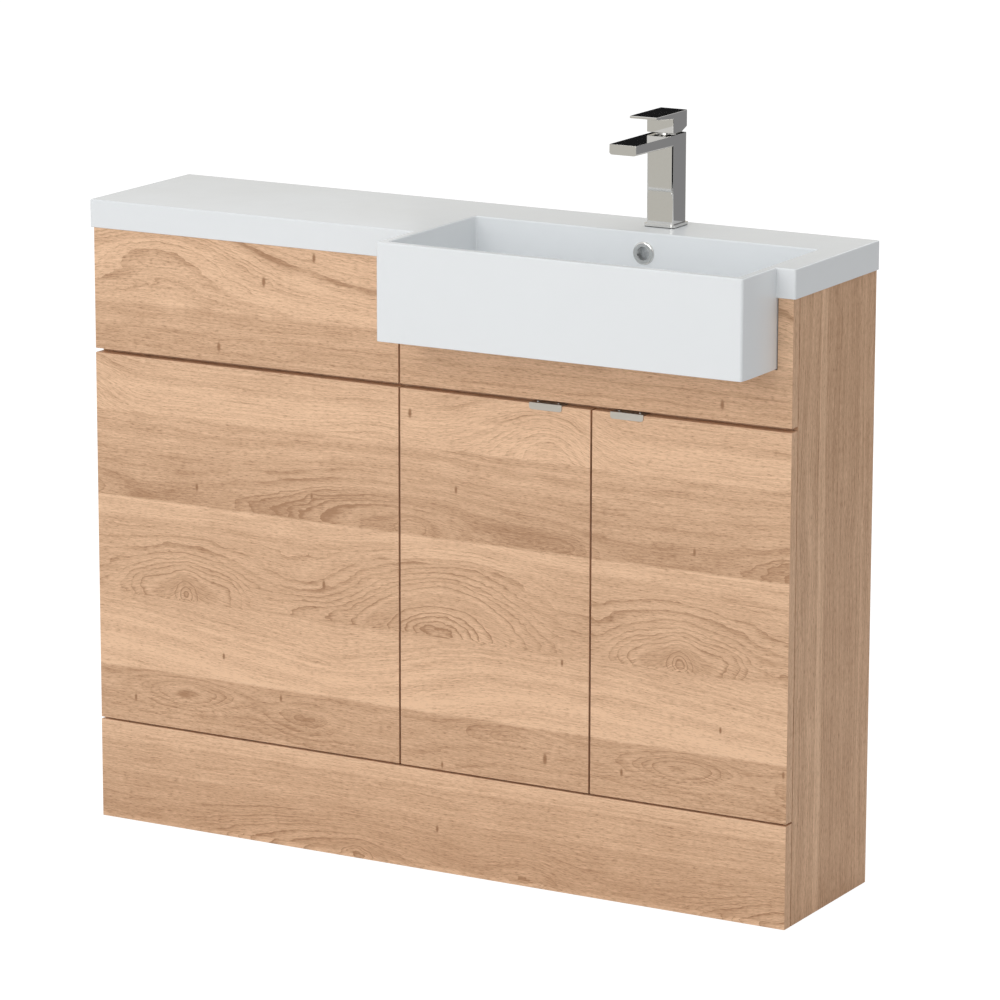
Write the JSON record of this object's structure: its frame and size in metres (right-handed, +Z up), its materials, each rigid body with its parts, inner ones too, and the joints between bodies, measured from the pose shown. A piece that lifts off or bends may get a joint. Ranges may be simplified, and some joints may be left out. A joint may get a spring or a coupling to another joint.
{
  "type": "vanity unit",
  "caption": "Oak-effect bathroom run: a plain toilet unit beside a two-door vanity under one white worktop with a semi-recessed basin and square lever tap.",
  "frame": {"origin": "centre of the whole object's footprint box, on the floor", "axes": "+X along the fronts from the toilet unit to the vanity unit, +Y towards the wall behind, +Z up"},
  "size_m": [1.108, 0.355, 1.063],
  "materials": {
    "oak_front": "horizontal oak effect with plank bands, satin",
    "oak_side": "upright oak effect, satin",
    "oak_carcass": "oak effect boards with edge banding, satin",
    "beech": "plain beech dowels",
    "cast_resin": "white cast mineral resin with a gloss gel coat",
    "chrome": "mirror chrome plate",
    "bright_steel": "zinc plated steel",
    "hinge_nickel": "nickel plated pressed steel",
    "satin_aluminium": "satin anodised aluminium",
    "grey_plastic": "moulded grey plastic",
    "white_plastic": "moulded white plastic",
    "black_rubber": "black rubber",
    "brass": "turned brass",
    "clear_bumper": "pale soft door bumpers"
  },
  "bodies": {
    "root": {"wc_side_left": "oak_side", "wc_side_right": "oak_carcass", "wc_rail_rear": "oak_carcass", "wc_rail_front_top": "oak_carcass", "wc_rail_front_middle": "oak_carcass", "wc_rail_front_bottom": "oak_carcass", "wc_fascia": "oak_front", "wc_front_panel": "oak_front", "vanity_side_left": "oak_carcass", "vanity_side_right": "oak_side", "vanity_base": "oak_carcass", "vanity_shelf": "oak_carcass", "vanity_rail_front": "oak_carcass", "vanity_rail_rear_top": "oak_carcass", "vanity_rail_rear_bottom": "oak_carcass", "vanity_fascia": "oak_front", "plinth": "oak_front", "carcass_dowels": "beech", "panel_clips": "grey_plastic", "shelf_pins": "bright_steel", "connecting_bolts": "bright_steel", "worktop_basin": "cast_resin", "overflow_ring": "chrome", "waste_body": "chrome", "waste_nut": "white_plastic", "trap_inlet_nut": "chrome", "trap_body": "chrome", "trap_cup": "chrome", "trap_outlet_nut": "chrome", "trap_outlet_pipe": "chrome", "tap_gasket": "black_rubber", "tap_body": "chrome", "tap_aerator": "grey_plastic", "tap_cartridge": "white_plastic", "tap_cartridge_nut": "chrome", "tap_stud": "bright_steel", "tap_clamp_plate": "bright_steel", "tap_stud_nut": "brass", "hinge_plates": "hinge_nickel", "hinge_arms": "hinge_nickel", "hinge_arm_pins": "hinge_nickel"},
    "left_links": {"door_left_links": "hinge_nickel"},
    "left_door": {"door_left": "oak_front", "door_left_pull": "satin_aluminium", "door_left_hinge_cups": "hinge_nickel", "door_left_cup_pins": "hinge_nickel", "door_left_bumpers": "clear_bumper"},
    "right_links": {"door_right_links": "hinge_nickel"},
    "right_door": {"door_right": "oak_front", "door_right_pull": "satin_aluminium", "door_right_hinge_cups": "hinge_nickel", "door_right_cup_pins": "hinge_nickel", "door_right_bumpers": "clear_bumper"},
    "tap_turn": {"tap_carrier": "grey_plastic"},
    "tap_handle": {"tap_stem": "bright_steel", "tap_lever": "chrome", "tap_lever_screw": "bright_steel"},
    "plug": {"waste_plug": "chrome"}
  },
  "joints": [
    {"name": "left_link_turn", "type": "hinge", "parent": "root", "child": "left_links", "pos_m": [-0.0145, -0.0455, 0.416], "axis": [0, 0, 1], "range_deg": [0, 52.5]},
    {"name": "left_door_open", "type": "hinge", "parent": "left_links", "child": "left_door", "pos_m": [-0.0385, -0.061, 0.416], "axis": [0, 0, -1], "range_deg": [0, 157.5]},
    {"name": "right_link_turn", "type": "hinge", "parent": "root", "child": "right_links", "pos_m": [0.516, -0.0455, 0.416], "axis": [0, 0, -1], "range_deg": [0, 52.5]},
    {"name": "right_door_open", "type": "hinge", "parent": "right_links", "child": "right_door", "pos_m": [0.54, -0.061, 0.416], "axis": [0, 0, 1], "range_deg": [0, 157.5]},
    {"name": "tap_swivel", "type": "hinge", "parent": "root", "child": "tap_turn", "pos_m": [0.25, 0.1365, 1.034], "axis": [0, 0, 1], "range_deg": [-45, 45]},
    {"name": "tap_lift", "type": "hinge", "parent": "tap_turn", "child": "tap_handle", "pos_m": [0.25, 0.1365, 1.03], "axis": [-1, 0, 0], "range_deg": [0, 18]},
    {"name": "plug_slide", "type": "slide", "parent": "root", "child": "plug", "axis": [0, 0, 1], "range_m": [0, 0.009]}
  ],
  "couplings": [
    {"joint": "left_link_turn", "follows": "left_door_open", "ratio": 0.33333},
    {"joint": "right_link_turn", "follows": "right_door_open", "ratio": 0.33333}
  ]
}
